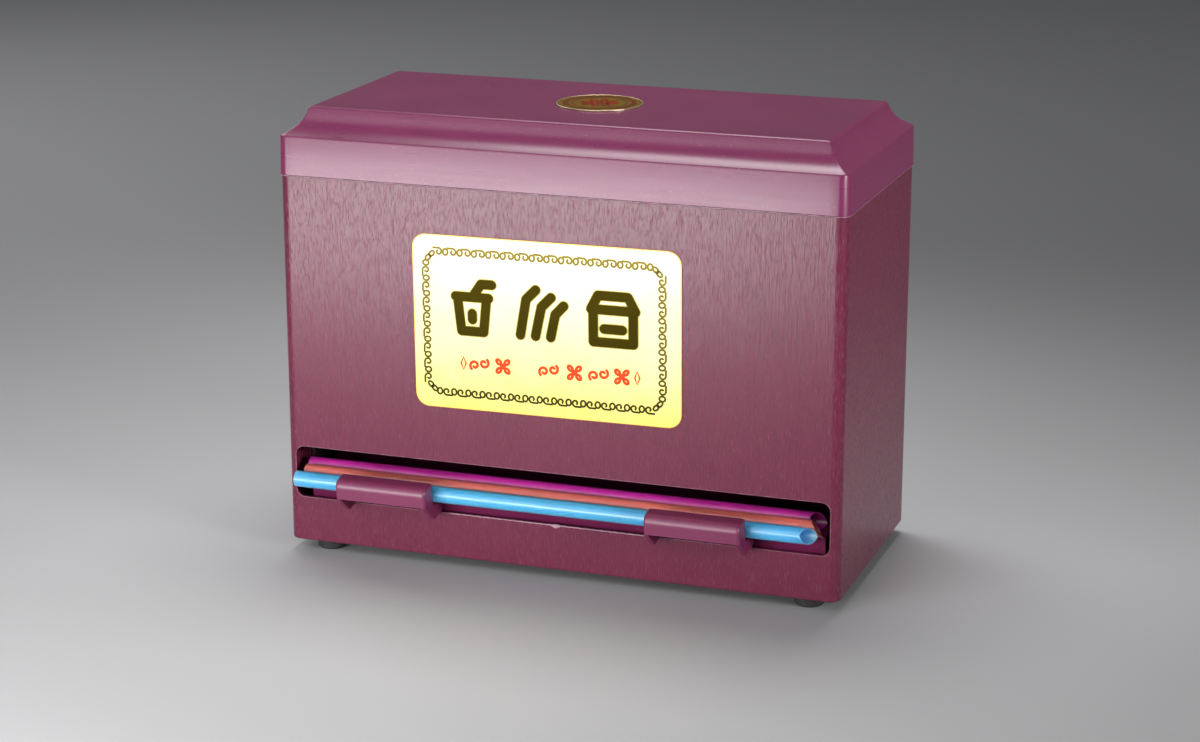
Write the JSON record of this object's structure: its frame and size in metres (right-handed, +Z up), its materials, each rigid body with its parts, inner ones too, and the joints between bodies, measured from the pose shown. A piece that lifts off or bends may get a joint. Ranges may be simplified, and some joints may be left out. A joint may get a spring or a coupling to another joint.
{
  "type": "straw dispenser",
  "caption": "Table-top drinking-straw box with a lift-off moulded lid, a long front slot, a sloping lever tray with finger tabs, and straws lying in the trough.",
  "frame": {"origin": "middle of the whole footprint, tabs included, on the surface that the feet stand on", "axes": "+X to the right along the box as seen from the front, +Y from the front with the slot to the back, +Z up"},
  "size_m": [0.2516, 0.1344, 0.1986],
  "materials": {
    "body_plastic": "maroon plastic moulded with fine upright wood grain",
    "lid_plastic": "smooth satin maroon plastic",
    "lever_plastic": "smooth satin maroon plastic",
    "inner_plastic": "plain maroon plastic",
    "badge_gold": "brownish gold foil on a plastic disc",
    "plaque_gold": "printed gold sheet, glossy",
    "foot_rubber": "black rubber",
    "bush_plastic": "white slippery plastic",
    "bright_steel": "bright drawn steel",
    "screw_steel": "zinc-plated steel",
    "straw_blue": "thin glossy blue plastic",
    "straw_orange": "thin glossy salmon-orange plastic",
    "straw_magenta": "thin glossy magenta plastic"
  },
  "bodies": {
    "housing": {"body_shell": "body_plastic", "base_plate": "inner_plastic", "foot_front_left": "foot_rubber", "foot_front_right": "foot_rubber", "foot_rear_left": "foot_rubber", "foot_rear_right": "foot_rubber", "hopper_side_right": "inner_plastic", "hopper_side_left": "inner_plastic", "front_guide": "inner_plastic", "hopper_ramp": "inner_plastic", "bracket_left": "inner_plastic", "bush_left": "bush_plastic", "bracket_right": "inner_plastic", "bush_right": "bush_plastic", "base_screws": "screw_steel", "bracket_screws": "screw_steel", "hopper_screws": "screw_steel", "front_plaque": "plaque_gold"},
    "lever": {"lever_tray": "lever_plastic", "finger_tab_left": "lever_plastic", "finger_tab_right": "lever_plastic", "axle_rod": "bright_steel", "axle_clips": "bright_steel", "tab_screws": "screw_steel", "straw_orange": "straw_orange", "straw_magenta": "straw_magenta"},
    "lid": {"lid": "lid_plastic", "lid_badge": "badge_gold"},
    "front_straw": {"straw_blue": "straw_blue"}
  },
  "joints": [
    {"name": "lever_lift", "type": "hinge", "parent": "housing", "child": "lever", "pos_m": [0, -0.0035, 0.03601], "axis": [-1, 0, 0], "range_deg": [0, 9.5]},
    {"name": "lid_lift", "type": "slide", "parent": "housing", "child": "lid", "axis": [0, 0, 1], "range_m": [0, 0.06]},
    {"name": "straw_lift", "type": "slide", "parent": "lever", "child": "front_straw", "axis": [0, -0.165, 0.9863], "range_m": [0, 0.04]}
  ]
}
